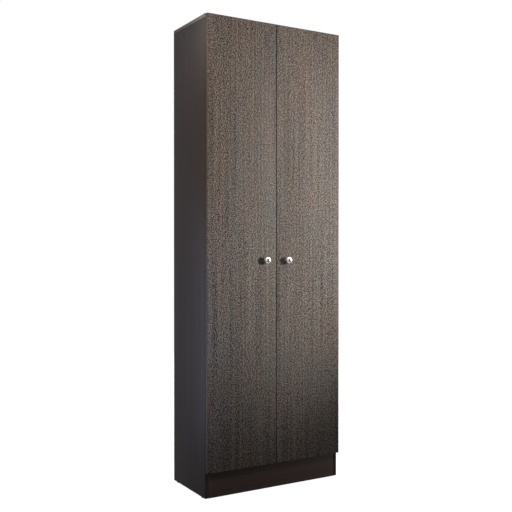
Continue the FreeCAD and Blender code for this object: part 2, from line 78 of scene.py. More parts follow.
# ---- holes, cams and pegs ----
drill_start = 1.0 * MM           # a drill starts this far above the surface
on_board = 1.0 * MM              # a mouth that lies nearer to a board is on it
pin_hole_radius = 2.5 * MM
pin_hole_depth = 10.0 * MM
peg_out, peg_in = 7.0 * MM, 8.0 * MM
peg_tip = 1.2 * MM               # rounding of a peg's end
peg_taper = 0.5 * MM             # length of the taper at its end in the hole
peg_taper_share = 0.7            # what the taper leaves of its radius
peg_pole = 0.05 * MM             # radius of the last ring
cam_depth = 12.5 * MM
cam_fit = 0.15 * MM              # room round a cam in its seat
cam_chamfer = 0.3 * MM
cam_rim = 0.94                   # inner edge of a cam's rim, as a share of its radius
cam_rim_sink = 0.15 * MM
cam_face_sink = 0.55 * MM
cam_slot_reach, cam_slot_width = 0.66, 0.15      # shares of a cam's radius
cam_slot_depth = 1.6 * MM

# ---- hinge cups ----
cup_depth = 12.0 * MM
cup_floor = 0.8 * MM
cup_fit = 0.05 * MM              # room round a cup in the door
cup_chamfer = 0.6 * MM           # round its bottom
cup_rim_rounding = 0.3 * MM
cup_rim_width = 1.6 * MM
cup_face_edge = 2.0 * MM         # from the wall to the edge of the sunk face
cup_face_sink = 0.25 * MM
cup_pole = 0.2 * MM              # radius at which the turned face ends
pocket_length = 24.0 * MM
pocket_half_width = 4.8 * MM
pocket_softening = 0.8 * MM

# ---- knobs and bumpers ----
knob_head_radius = 14.0 * MM
knob_foot_radius = 7.5 * MM
knob_foot_thickness = 1.3 * MM
knob_foot_wall = 0.6             # share of the foot's thickness below its shoulder
knob_shoulder_radius, knob_shoulder_height = 0.96, 0.9    # shares of the foot's radius and thickness
knob_waist_radius = 6.0 * MM     # where the neck leaves the foot
knob_neck_radius = 4.6 * MM
knob_neck_distance = 8.0 * MM
knob_widest_distance = 16.0 * MM
knob_pole = 0.02 * MM
bumper_wall = 0.25               # share of a bumper's height below its dome
bumper_pole = 0.05 * MM

# ---- screws: radius and height of the head, radius and length of the shank ----
strike_screw = (3.0 * MM, 0.2 * MM, 1.2 * MM, 9.0 * MM)
adjusting_screw = (2.6 * MM, 0.9 * MM, 1.5 * MM, 5.0 * MM)
strike_screw_spacing = 26.0 * MM
adjusting_screw_ahead = 20.0 * MM                # of the clamp screw on the same hinge arm
# where a solid gives the other two: height of the head and radius of the shank
knob_screw = (2.0 * MM, 2.0 * MM)
plate_screw = (1.6 * MM, 2.0 * MM)
arm_screw = (1.5 * MM, 2.0 * MM)
bracket_screw = (1.2 * MM, 1.8 * MM)
head_wall = 0.55                 # share of a head's height below its dome
head_slot_reach, head_slot_width = 0.62, 0.16    # shares of a head's radius
head_slot_depth = 0.6            # share of its height
slot_side, slot_end = 0.5, 0.25  # shares of a slot's half width and reach over which it runs out
screw_point = 0.2                # a screw's blunt point, as a share of its shank's radius and length

# ---- nails and glides ----
nail_head_height = 0.8 * MM
nail_head_wall = 0.35            # share of a nail head's height below its dome
nail_radius = 0.8 * MM
nail_point_radius, nail_point_length = 0.2 * MM, 2.0 * MM
glide_height = 3.0 * MM
glide_wall_foot = 0.8 * MM       # where a glide's wall starts to draw in
glide_shoulder = 0.25 * MM       # where it turns under
glide_shoulder_share, glide_sole_share = 0.97, 0.88    # of a glide's radius, there and at the floor

# ---- camera ----
camera_place = (-1.5877, -2.6739, 0.9301)
camera_turn = radians(30.52)
camera_dip = radians(0.35)
camera_lens = 54.36
camera_sensor = 36.0
camera_shift = -0.0050

# ---- light ----
WHITE = (1.0, 1.0, 1.0, 1.0)
studio_soft = (0.22, 0.22, 0.22, 1.0)  # even light of the studio on matt surfaces
studio_glows = (                       # what shiny surfaces mirror: a direction, its edge and its colour
    ((-0.43, 0.90, 0.0), 0.0, (0.486, 0.444, 0.470)),
    ((-0.95, -0.30, 0.0), 0.2, (0.50, 0.50, 0.50)),
    (X, 0.45, (2.2, 2.2, 2.2)),
    (-Y, 0.0, (0.50, 0.50, 0.50)),
    (Z, 0.4, (1.7, 1.7, 1.7)),
    (-Z, 0.45, (2.6, 2.6, 2.6)),
)
dim_below = 0.7                        # share of the glows lost below the horizon
dim_full = 0.60                        # how steeply down that is reached
dark_patches = ((0.16, -0.90, 0.40), (0.22, -0.90, -0.36))    # two unlit openings in front
dark_patch_share = 0.65                # share of the glows lost in them
dark_patch_edge = (0.80, 0.95)         # where a patch starts, and where it is full
key_lamp = dict(kind="SPOT", place=(1.87, -2.00, 1.245), aim=(0.11, -0.136, 1.13), power=682.0,
                colour=(1.0, 0.98, 0.955), narrowed=0.455, spot_size=radians(43.4), spot_blend=0.9,
                shadow_soft_size=0.08)
top_lamp = dict(kind="AREA", place=(0.6, -1.5, 2.75), aim=(0.1, -0.136, 1.75), power=29.5,
                colour=(1.0, 0.75, 0.66), size=0.4)
rear_lamp = dict(kind="AREA", place=(1.2, 3.2, 2.0), aim=(0.0, 0.1, 1.0), power=60.0,
                 colour=(1.0, 1.0, 1.0), size=1.6)
side_lamps = (                         # close to the left side: name, height, length, watts and colour
    ("near_low", 0.62, 0.8, 1.75, (0.689, 0.730, 1.0)),
    ("near_middle", 1.40, 0.8, 0.83, (1.0, 0.716, 0.493)),
    ("near_high", 1.76, 0.1, 0.90, (1.0, 0.964, 0.929)),
)
side_lamp_place, side_lamp_aim = (-0.50, -0.20), (-0.3, -0.08)
side_lamp_width = 0.08
floor_reach = 14.0
floor_glow = 0.9
floor_grey = (0.5, 0.5, 0.5, 1.0)


# ---- closed surfaces: each is its points and its faces ----
def shell(rings):
    """Rings with as many points each, joined by quads, with a flat face at either end."""
    rows, columns = rings.shape[:2]
    start = np.arange(rows - 1)[:, None] * columns
    here = np.arange(columns)[None, :]
    after = (here + 1) % columns
    quads = np.stack([start + here, start + after, start + columns + after, start + columns + here], -1)
    ends = [list(range(columns))[::-1], list(range((rows - 1) * columns, rows * columns))]
    return rings.reshape(-1, 3), quads.reshape(-1, 4).tolist() + ends


def cross_axes(axis):
    """Two unit vectors square to an axis, so that the first cross the second is the axis."""
    helper = Z if abs(axis[UP]) < 0.5 else X
    first = np.cross(helper, axis)
    return first, np.cross(axis, first)


def full_turn(sides):
    """The angles of the corners of a many-sided ring."""
    return np.linspace(0, 2 * pi, sides, endpoint=False)


def quarter_turn(steps):
    """Angles from 0 to a right angle."""
    return np.linspace(0, pi / 2, steps + 1)


def turned(radius, distance, seat, axis, sides=round_sides):
    """A turned shape: each ring's radius against its distance along the axis from the seat.

    The distance may also vary round the ring, as in a slotted head.
    """
    radius = np.asarray(radius, float)[:, None]
    distance = np.asarray(distance, float).reshape(len(radius), -1)
    turn = full_turn(sides)
    first, second = cross_axes(axis)
    outward = np.cos(turn)[:, None] * first + np.sin(turn)[:, None] * second
    along = np.broadcast_to(distance, (len(radius), sides))
    rings = np.asarray(seat) + along[..., None] * axis + (radius * np.ones(sides))[..., None] * outward
    return shell(rings)


def softened_block(low, high, soft, steps=3):
    """A box with rounded edges: a rounded rectangle carried along its longest side.

    Near both ends the rectangle draws in along a quarter circle.
    """
    low, high = np.asarray(low, float), np.asarray(high, float)
    long_way = int(np.argmax(high - low))
    wide, deep = (long_way + 1) % 3, (long_way + 2) % 3
    quarter = quarter_turn(steps)
    turn = (quarter[None, :] + pi / 2 * np.arange(4)[:, None]).ravel()
    corner = np.repeat([[1, 1], [-1, 1], [-1, -1], [1, -1]], steps + 1, axis=0)
    inset = np.concatenate([soft * (1 - np.sin(quarter)), soft * (1 - np.cos(quarter))])
    travel = soft * (1 - np.cos(quarter))
    place = np.concatenate([low[long_way] + travel, high[long_way] - travel[::-1]])
    middle, half = (low + high) / 2, (high - low) / 2
    rings = np.empty((len(place), len(turn), 3))
    rings[..., long_way] = place[:, None]
    for number, (way, circle) in enumerate(((wide, np.cos(turn)), (deep, np.sin(turn)))):
        straight = middle[way] + corner[:, number] * (half[way] - soft)
        rings[..., way] = straight + (soft - inset)[:, None] * circle
    return shell(rings)


# ---- pieces from closed surfaces ----
def placed(name, data):
    """A new object in the scene."""
    made = bpy.data.objects.new(name, data)
    bpy.context.scene.collection.objects.link(made)
    return made


def bare_object(name, shells):
    """An object from closed surfaces, with doubled points merged and faces turned outwards."""
    starts = np.cumsum([0] + [len(points) for points, _ in shells])
    faces = []
    for (_, group), start in zip(shells, starts):
        faces += [[corner + start for corner in face] for face in group]
    mesh = bpy.data.meshes.new(name)
    mesh.from_pydata(np.concatenate([points for points, _ in shells]).tolist(), [], faces)
    tidy_mesh(mesh)
    return placed(name, mesh)


def tidy_mesh(mesh):
    """Merges doubled points, drops faces with no area and turns the others outwards."""
    work = bmesh.new()
    work.from_mesh(mesh)
    bmesh.ops.remove_doubles(work, verts=work.verts, dist=weld)
    bmesh.ops.dissolve_degenerate(work, edges=work.edges, dist=weld)
    bmesh.ops.recalc_face_normals(work, faces=work.faces)
    work.to_mesh(mesh)
    work.free()


def join_flat_faces(mesh):
    """Makes one face of neighbours that lie in one plane."""
    work = bmesh.new()
    work.from_mesh(mesh)
    bmesh.ops.dissolve_limit(work, verts=work.verts, edges=work.edges, angle_limit=flat_edge)
    work.to_mesh(mesh)
    work.free()


def seat_piece(made, finish, body, slot, *stands_for):
    """Gives a new piece its finish, the body that it moves with and the nodes that it stands for."""
    if finish is not None:
        made.data.materials.clear()
        made.data.materials.append(finish)
    made.data.shade_smooth()
    made.data.set_sharp_from_angle(angle=sharp_edge)
    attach(made, body)
    if stands_for:
        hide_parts(*stands_for)
    return made


def applied(made):
    """Puts the result of an object's modifiers into its mesh."""
    graph = bpy.context.evaluated_depsgraph_get()
    mesh = bpy.data.meshes.new_from_object(made.evaluated_get(graph))
    made.modifiers.clear()
    made.data = mesh
    return made


def cut(made, shells):
    """Cuts closed surfaces out of a piece."""
    tool = bare_object("tool", shells)
    modifier = made.modifiers.new("cut", "BOOLEAN")
    modifier.operation = "DIFFERENCE"
    modifier.solver = "EXACT"
    modifier.object = tool
    applied(made)
    bpy.data.objects.remove(tool)
    return made


def softened_copy(node, name, soft):
    """A copy of a fitting's plain solid with its edges rounded."""
    made = placed(name, frame["nodes"][node].data.copy())
    tidy_mesh(made.data)
    join_flat_faces(made.data)
    modifier = made.modifiers.new("soften", "BEVEL")
    modifier.width = soft
    modifier.segments = 2
    modifier.limit_method = "ANGLE"
    modifier.angle_limit = bevelled_edge
    return applied(made)


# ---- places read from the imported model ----
def box(node):
    """The low and high corners of a node."""
    low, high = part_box(node)
    return np.array(low), np.array(high)


def solids(node):
    """The low and high corners of each separate solid of a node, found by merging touching faces."""
    mesh = frame["nodes"][node].data
    points = np.empty(len(mesh.vertices) * 3, np.float32)
    mesh.vertices.foreach_get("co", points)
    corners = np.empty(len(mesh.loops), np.int32)
    mesh.loops.foreach_get("vertex_index", corners)
    points, index = np.unique(points.reshape(-1, 3).round(6), axis=0, return_inverse=True)
    faces = index.ravel()[corners].reshape(-1, 3)
    label = np.arange(len(points))
    settled = False
    while not settled:
        lowest = label.copy()
        np.minimum.at(lowest, faces, label[faces].min(axis=1, keepdims=True))
        settled = bool((lowest == label).all())
        label = lowest
    return [(points[label == one].min(0), points[label == one].max(0)) for one in np.unique(label)]


def middle_at(low, high, axis, level):
    """The middle between two corners, moved along an axis to a level."""
    middle = ((low + high) / 2).astype(float)
    middle[axis] = level
    return middle


def body_of(node):
    """The body that a node moves with."""
    return next(name for name, members in frame["record"]["behaviour"]["bodies"].items() if node in members)


# ---- finishes ----
class Wire:
    """An output in a finish's nodes. Arithmetic on wires and numbers adds Math nodes."""

    def __init__(self, nodes, socket):
        self.nodes = nodes
        self.socket = socket

    def maths(self, operation, first, second):
        """The wire of a Math node fed by wires or numbers."""
        return self.nodes.add("Math", {"operation": operation}, {0: first, 1: second})

    def __add__(self, other):
        return self.maths("ADD", self, other)

    def __radd__(self, other):
        return self.maths("ADD", other, self)

    def __sub__(self, other):
        return self.maths("SUBTRACT", self, other)

    def __rsub__(self, other):
        return self.maths("SUBTRACT", other, self)

    def __mul__(self, other):
        return self.maths("MULTIPLY", self, other)

    def __rmul__(self, other):
        return self.maths("MULTIPLY", other, self)

    def __gt__(self, other):
        return self.maths("GREATER_THAN", self, other)

    def __lt__(self, other):
        return self.maths("LESS_THAN", self, other)


MIX_SHARE, MIX_FIRST, MIX_SECOND, MIX_RESULT = 0, 6, 7, 2    # colour sockets of a Mix node


class Nodes:
    """A node tree, with one method that adds any node to it."""

    def __init__(self, tree):
        self.tree = tree

    def feed(self, socket, value):
        """Links a wire to a socket, or sets the socket's own value."""
        if isinstance(value, Wire):
            self.tree.links.new(value.socket, socket)
        else:
            socket.default_value = value

    def add(self, kind, settings, sockets, output=0):
        """A node with its settings or ramp stops, then the values or wires of its sockets."""
        made = self.tree.nodes.new("ShaderNode" + kind)
        for setting, value in settings.items():
            if setting == "stops":
                self.set_stops(made.color_ramp, value)
            else:
                setattr(made, setting, value)
        for socket, value in sockets.items():
            self.feed(made.inputs[socket], value)
        return Wire(self, made.outputs[output])

    def set_stops(self, ramp, stops):
        """Sets a ramp's stops, each a place and a colour."""
        while len(ramp.elements) < len(stops):
            ramp.elements.new(1.0)
        for element, (place, colour) in zip(ramp.elements, stops):
            element.position = place
            element.color = (*colour, 1.0)

    def mix(self, share, first, second, blend="MIX"):
        """Colours mixed, or multiplied, by a share."""
        sockets = {MIX_SHARE: share, MIX_FIRST: first, MIX_SECOND: second}
        return self.add("Mix", {"data_type": "RGBA", "blend_type": blend}, sockets, MIX_RESULT)


class Finish(Nodes):
    """A material, and the patterns in the piece's own coordinates that feed its shader."""

    def __init__(self, name, **constants):
        self.material = bpy.data.materials.new(name)
        self.material.use_nodes = True
        super().__init__(self.material.node_tree)
        self.shader = self.tree.nodes["Principled BSDF"]
        self.done(**constants)
        self.place = self.add("TexCoord", {}, {}, "Object")

    def noise(self, cell, shift=0.0, detail=2.0, rough=0.5):
        """Soft noise of mean 0 whose patches measure the cell, in metres along x, y and z.

        The shift, one number or three, moves the pattern by that many cells, which keeps two apart.
        """
        scale = [1 / size for size in cell]
        start = np.broadcast_to(shift, 3)
        spread = self.add("Mapping", {}, {"Vector": self.place, "Location": start, "Scale": scale})
        settings = {"Vector": spread, "Scale": 1.0, "Detail": detail, "Roughness": rough}
        return self.add("TexNoise", {}, settings, 0) - 0.5

    def axis(self, letter):
        """The place along an axis, in metres."""
        return self.add("SeparateXYZ", {}, {0: self.place}, letter)

    def ramp(self, share, stops):
        """A colour picked from stops by a share from 0 to 1."""
        return self.add("ValToRGB", {"stops": stops}, {0: share})

    def between(self, share, first, second):
        """From one colour to another as a share goes from 0 to 1."""
        return self.ramp(share, [(0.0, first), (1.0, second)])

    def relief(self, height, depth):
        """Surface relief of the given depth, in metres, for a height from 0 to 1."""
        bumped = self.add("Bump", {}, {"Height": height, "Distance": depth, "Strength": 1.0})
        self.feed(self.shader.inputs["Normal"], bumped)

    def done(self, **values):
        """Feeds the shader's sockets, whose names are written with _ for a space."""
        for socket, value in values.items():
            self.feed(self.shader.inputs[socket.replace("_", " ")], value)
        return self.material


# patches of printed grain: their width across it and their length along it, in millimetres
fibre_patch = (0.8, 7.0)
pore_patch = (0.9, 9.0)
band_patch = (40, 900)
hue_patch = (62, 210)
blush_patch = (34, 90)
door_fleck_patch, door_line_patch = (4.3, 3.3), (7.0, 600)
carcass_fleck_patch, carcass_line_patch = (3.3, 4.0), (5.5, 600)
edging_patch = (1.5, 180)
back_patch = (5, 380)
chips_per_metre = 420.0          # of the chipboard core
sawn_width = 0.5 * MM            # of the dark left and right edges of the back sheets
print_depth = 0.3 * MM           # of their print, from the inner face

# tones of the prints: dark, middle and light
DOOR_TONES = ((0.0087, 0.0071, 0.0060), (0.0535, 0.0462, 0.0406), (0.1395, 0.1257, 0.1129))
CARCASS_TONES = ((0.020, 0.0175, 0.0165), (0.036, 0.0325, 0.0315), (0.056, 0.0515, 0.050))
PLINTH_TONES = ((0.026, 0.0185, 0.0155), (0.047, 0.034, 0.0295), (0.073, 0.054, 0.047))
DOOR_SHEET_AND_LIGHT_SHADES = {"left": 0.936, "right": 1.03}     # shade of each door's print: partly the sheets' own shade, partly painted light, the right door lighter where more light falls on it
WARM, COOL = (1.075, 0.985, 0.91), (0.93, 1.01, 1.06)
PINK, GREEN = (1.025, 0.955, 1.02), (0.975, 1.04, 0.985)

# edging: its dark and its light tone
DOOR_EDGING = ((0.033, 0.027, 0.023), (0.056, 0.047, 0.041))
UPRIGHT_EDGING = ((0.016, 0.0130, 0.0115), (0.034, 0.028, 0.025))
LEVEL_EDGING = ((0.068, 0.064, 0.064), (0.124, 0.119, 0.119))

# contrast of flecks, fibres and streaks, strength of the drift of hue, gloss and depth of relief
DOOR_PRINT = dict(speckle=4.0, fibre=5.4, streak=0.8, drift=1.5,
                  roughness=0.55, depth=0.05 * MM, sheen=0.036)
CARCASS_PRINT = dict(speckle=0.15, fibre=0.12, streak=0.35, drift=0.8,
                     roughness=0.42, depth=0.015 * MM, sheen=0.1)


def grain_cell(patch, along):
    """The cell of noise for a patch of grain that runs along an axis."""
    across, length = patch
    cell = [across * MM] * 3
    cell[along] = length * MM
    return cell


def wenge_print(name, tones, along, fleck, line, speckle, fibre, streak, drift, roughness, depth, sheen):
    """A laminate's printed grain: flecks, hair-fine fibres through them, streaks and a drift of hue.

    The tone is the sum of these patterns, each times its contrast, with broad bands and dark pores.
    The flecks and the lines of the streaks are given as the cell and the shift of their noise.
    """
    finish = Finish(name, Specular_IOR_Level=sheen)
    flecks = finish.noise(*fleck, detail=0.0)
    fibres = finish.noise(grain_cell(fibre_patch, along), 3.7, detail=1.0)
    streaks = finish.noise(*line, detail=0.0)
    bands = finish.noise(grain_cell(band_patch, along), 1.7, detail=0.0)
    pores = finish.noise(grain_cell(pore_patch, along), 9.2, detail=0.0) > 0.12
    grain = flecks * speckle + fibres * fibre + streaks * streak
    tone = finish.ramp(0.5 + grain + bands * 0.15 - pores * 0.06,
                       [(0.0, tones[0]), (0.5, tones[1]), (1.0, tones[2])])
    hue = finish.noise(grain_cell(hue_patch, along), 12.4, detail=1.0)
    tinted = finish.mix(1.0, tone, finish.between(0.5 + hue * drift, COOL, WARM), "MULTIPLY")
    blush = finish.noise(grain_cell(blush_patch, along), 7.7, detail=1.0)
    coloured = finish.mix(1.0, tinted, finish.between(0.5 + blush * drift, GREEN, PINK), "MULTIPLY")
    finish.relief(0.6 + flecks * 0.5 - pores * 0.5, depth)
    return finish.done(Base_Color=coloured, Roughness=roughness + flecks * 0.12 + pores * 0.1)


def door_wenge(side):
    """One door's print, scaled by its door's shade, which is partly painted light.

    Both faces of a door lie on layers of the noise where it has no large patches, only flecks.
    """
    low, high = box(side + "_door_panel")
    layer = (high - low)[THROUGH] / 4
    shift = (0.3, -low[THROUGH] / layer, 0.3)
    fleck, line = grain_cell(door_fleck_patch, UP), grain_cell(door_line_patch, UP)
    fleck[THROUGH] = line[THROUGH] = layer
    # partly painted light: each door's tones are scaled by its shade, and the right door's are lighter for
    # the brighter light on it
    tones = [[part * DOOR_SHEET_AND_LIGHT_SHADES[side] for part in tone] for tone in DOOR_TONES]
    return wenge_print(side + "_door_wenge", tones, UP, (fleck, shift), (line, shift), **DOOR_PRINT)


def carcass_wenge(name, along, tones=CARCASS_TONES):
    """The calmer print of the carcass."""
    fleck, line = grain_cell(carcass_fleck_patch, along), grain_cell(carcass_line_patch, along)
    return wenge_print(name, tones, along, (fleck, 2.3), (line, 4.1), **CARCASS_PRINT)


def edge_band(name, along, tones):
    """Plastic edging: the print's colour without its speckle."""
    finish = Finish(name, Specular_IOR_Level=0.15)
    streaks = finish.noise(grain_cell(edging_patch, along), 5.5)
    tone = finish.between(0.5 + streaks * 0.9, *tones)
    finish.relief(0.5 + streaks, 0.01 * MM)
    return finish.done(Base_Color=tone, Roughness=0.36 + streaks * 0.1)


def raw_chipboard():
    """The core of a board: pale chips of wood in glue."""
    finish = Finish("raw_chipboard", Specular_IOR_Level=0.2)
    chips = finish.add("TexVoronoi", {}, {"Vector": finish.place, "Scale": chips_per_metre}, "Color")
    dust = finish.noise((0.8 * MM,) * 3, 3.3)
    tone = finish.between(0.5 + dust * 1.2, (0.16, 0.095, 0.05), (0.52, 0.38, 0.24))
    finish.relief(0.5 + dust, 0.15 * MM)
    return finish.done(Base_Color=finish.mix(0.25, tone, chips), Roughness=0.85 + dust * 0.1)


def hardboard(inner_face, half_width):
    """Pressed fibre: brown outside, dark at its sawn sides, with the dark print on its inner face."""
    finish = Finish("hardboard", Specular_IOR_Level=0.3)
    fibres = finish.noise((2.0 * MM, 2.0 * MM, 7.0 * MM), 6.1, detail=3.0, rough=0.65)
    clouds = finish.noise((90 * MM, 90 * MM, 140 * MM), 8.8)
    brown = finish.between(0.5 + fibres * 0.8 + clouds * 0.5, (0.10, 0.055, 0.030), (0.27, 0.165, 0.095))
    streaks = finish.noise(grain_cell(back_patch, UP), 4.1)
    dark = finish.between(0.5 + streaks * 0.9, CARCASS_TONES[0], CARCASS_TONES[2])
    from_middle = finish.axis("X")
    sawn = (from_middle > half_width - sawn_width) + (from_middle < sawn_width - half_width)
    outer = (finish.axis("Y") > inner_face + print_depth) * (1.0 - sawn)
    finish.relief(0.5 + fibres * 0.6, 0.06 * MM)
    return finish.done(Base_Color=finish.mix(outer, dark, brown), Roughness=0.5 + outer * 0.2 + fibres * 0.15)


def metal(name, colour, roughness, mark_size, dulling, depth):
    """Plated or cast metal: a plain colour with faint marks in its gloss and surface.

    The marks' size along x, y and z and their depth are in millimetres.
    """
    finish = Finish(name, Metallic=1.0)
    marks = finish.noise([size * MM for size in mark_size], 3.1, detail=3.0)
    dull = [part * 0.86 for part in colour]
    tone = finish.ramp(0.5 + marks, [(0.2, dull), (0.8, colour)])
    finish.relief(0.5 + marks, depth * MM)
    return finish.done(Base_Color=tone, Roughness=roughness + marks * dulling)


def plastic(name, dark, light, roughness, **constants):
    """Moulded plastic or rubber with a fine matt texture."""
    finish = Finish(name, **constants)
    texture = finish.noise((0.5 * MM,) * 3, 5.2)
    clouds = finish.noise((12 * MM,) * 3, 6.6, detail=1.0)
    finish.relief(0.5 + texture, 0.02 * MM)
    tone = finish.between(0.5 + clouds + texture * 0.3, dark, light)
    return finish.done(Base_Color=tone, Roughness=roughness + texture * 0.1)


def beech():
    """Turned beech with short flecks along x."""
    finish = Finish("beech", Specular_IOR_Level=0.3)
    flecks = finish.noise((5 * MM, 0.7 * MM, 0.7 * MM), 2.9)
    tone = finish.between(0.5 + flecks, (0.36, 0.22, 0.12), (0.62, 0.44, 0.28))
    finish.relief(0.5 + flecks, 0.05 * MM)
    return finish.done(Base_Color=tone, Roughness=0.6 + flecks * 0.2)


rear_y = box("left_side")[1][THROUGH]
finishes = {
    "left_door": door_wenge("left"),
    "right_door": door_wenge("right"),
    "upright": carcass_wenge("upright_wenge", UP),
    "level": carcass_wenge("level_wenge", ACROSS),
    "plinth": carcass_wenge("plinth_wenge", ACROSS, PLINTH_TONES),
    "door_edge": edge_band("door_edging", UP, DOOR_EDGING),
    "edge_upright": edge_band("upright_edging", UP, UPRIGHT_EDGING),
    "edge_level": edge_band("level_edging", ACROSS, LEVEL_EDGING),
    "core": raw_chipboard(),
    "hardboard": hardboard(rear_y, box("back_lower_sheet")[1][ACROSS]),
    "nickel": metal("bright_nickel", (0.86, 0.85, 0.83), 0.10, (3, 3, 3), 0.06, 0.004),
    "steel": metal("hinge_steel", (0.72, 0.71, 0.69), 0.24, (6, 6, 1.2), 0.12, 0.008),
    "zinc": metal("zinc_plate", (0.66, 0.67, 0.69), 0.32, (1.5, 1.5, 1.5), 0.2, 0.01),
    "cast": metal("cast_zinc", (0.50, 0.50, 0.51), 0.48, (0.7, 0.7, 0.7), 0.2, 0.03),
    "pole": metal("pole_steel", (0.42, 0.42, 0.43), 0.38, (4, 0.6, 4), 0.15, 0.02),
    "brown": plastic("brown_plastic", (0.020, 0.013, 0.010), (0.045, 0.030, 0.023), 0.42),
    "nylon": plastic("cup_nylon", (0.055, 0.036, 0.026), (0.085, 0.058, 0.043), 0.30),
    "rubber": plastic("clear_rubber", (0.55, 0.56, 0.56), (0.74, 0.75, 0.75), 0.32, Transmission_Weight=0.35),
    "beech": beech(),
}


# ---- boards ----
LAMINATE, EDGING, CORE = 0, 1, 2     # a board's material slots


def dress_board(made, thin, banded, low, high, soft):
    """Laminate on a board's two faces, edging on the banded edges, raw core elsewhere and in holes.

    A face of the mesh is on an edge if it leans from the thin way, and in a hole if its middle lies
    deeper than the rounded corners reach.
    """
    mesh = made.data
    normals = np.empty(len(mesh.polygons) * 3, np.float32)
    centres = np.empty(len(mesh.polygons) * 3, np.float32)
    mesh.polygons.foreach_get("normal", normals)
    mesh.polygons.foreach_get("center", centres)
    normals, centres = normals.reshape(-1, 3), centres.reshape(-1, 3)
    rounded = rounded_share * soft
    inner = ((centres > low + rounded) & (centres < high - rounded)).all(axis=1)
    on_edge = np.abs(normals[:, thin]) < flat_normal
    edged = (normals @ np.array(banded).T > edge_normal).any(axis=1)
    index = np.where(on_edge, np.where(edged, EDGING, CORE), LAMINATE)
    index[inner] = CORE
    mesh.polygons.foreach_set("material_index", index.astype(np.int32))


def board(node, thin, laminate, edging, banded, slot, soft=board_softening, cuts=()):
    """A laminated board in the place of its node, with its holes cut and its edges finished."""
    low, high = box(node)
    made = bare_object(node + "_board", [softened_block(low, high, soft)])
    if cuts:
        cut(made, cuts)
    made.data.materials.clear()
    for finish in (laminate, edging, "core"):
        made.data.materials.append(finishes[finish])
    dress_board(made, thin, banded, low, high, soft)
    return seat_piece(made, None, body_of(node), slot, node)


def round_hole(radius, mouth, inwards, depth):
    """A drill: a cylinder that starts just above the surface."""
    return turned([radius, radius], [-drill_start, depth], mouth, inwards)


def cam_facing(solid):
    """The middle of a cam's mouth and the way it faces, out of the board that holds it."""
    low, high = solid
    width, depth, height = high - low
    if height < depth:
        return middle_at(low, high, UP, low[UP]), -Z
    middle = (low + high) / 2
    facing = -np.sign(middle[ACROSS]) * X
    return middle + facing * width / 2, facing


def pin_places():
    """The mouth of each used pin hole and the way out of it."""
    wall, divider = box("right_side")[0][ACROSS], box("centre_divider")[1][ACROSS]
    places = []
    for low, high in solids("shelf_pins"):
        middle = ((low + high) / 2)[ACROSS]
        if abs(middle - wall) < abs(middle - divider):
            places.append((middle_at(low, high, ACROSS, wall), -X))
        else:
            places.append((middle_at(low, high, ACROSS, divider), X))
    return places


def spare_hole_places():
    """The mouth of each spare pin hole and the way out of it, from the record's mounts."""
    places = []
    for mount in frame["record"]["mounts"]:
        if mount["name"].startswith("spare_pin_holes"):
            half = mount["dims"]["spacing_x_mm"] / 2 * MM * Y
            middle, out = np.array(mount["pos_m"]), np.array(mount["axis"], float)
            places += [(middle - half, out), (middle + half, out)]
    return places


cams = [cam_facing(solid) for solid in solids("cam_housings")]
cam_low, cam_high = solids("cam_housings")[0]
cam_radius = (cam_high - cam_low)[THROUGH] / 2
pins = pin_places()
pin_holes = pins + spare_hole_places()


def holes_in(node, places, radius, depth):
    """A round hole for each place whose mouth lies on a board."""
    low, high = box(node)
    low, high = low - on_board, high + on_board
    near = [(mouth, way) for mouth, way in places if (mouth > low).all() and (mouth < high).all()]
    return [round_hole(radius, mouth, -way, depth) for mouth, way in near]


def cam_seats_in(node):
    """Round seats for the cams in a board."""
    return holes_in(node, cams, cam_radius + cam_fit, cam_depth)


def pin_holes_in(node):
    """Holes for shelf pegs in a board, used and spare."""
    return holes_in(node, pin_holes, pin_hole_radius, pin_hole_depth)


def carcass_boards():
    """The sides, the divider, the level boards, the plinth and the loose shelves."""
    for side in SIDES:
        node = side + "_side"
        board(node, ACROSS, "upright", "edge_upright", [-Y, Y, Z, -Z], "carcass_laminate", carcass_softening,
              cam_seats_in(node) + pin_holes_in(node))
    board("centre_divider", ACROSS, "upright", "edge_upright", [-Y], "carcass_laminate",
          cuts=pin_holes_in("centre_divider"))
    board("top_panel", UP, "level", "edge_level", [-Y, X, -X], "carcass_laminate", carcass_softening)
    for node in ("bottom_panel", "upper_shelf"):
        board(node, UP, "level", "edge_upright", [-Y], "carcass_laminate", cuts=cam_seats_in(node))
    board("plinth_board", THROUGH, "plinth", "edge_upright", [X, -X, Z, -Z], "carcass_laminate")
    for node in sorted(name for name in frame["nodes"] if name.startswith("adjustable_shelf")):
        board(node, UP, "level", "edge_upright", [-Y, X, -X], "shelf_laminate")


# ---- doors and what is on them ----
def cup_places(side):
    """The middle of each cup's mouth on the back of the door."""
    return [middle_at(low, high, THROUGH, high[THROUGH]) for low, high in solids(side + "_hinge_cups")]


def cup_radius(side):
    """Half the height of a cup's solid."""
    low, high = solids(side + "_hinge_cups")[0]
    return (high - low)[UP] / 2


def door(side):
    """A plain slab with the bores of its hinge cups."""
    bores = [round_hole(cup_radius(side) + cup_fit, place, -Y, cup_depth) for place in cup_places(side)]
    board(side + "_door_panel", THROUGH, side + "_door", "door_edge", [X, -X, Z, -Z], "door_laminate",
          door_softening, bores)


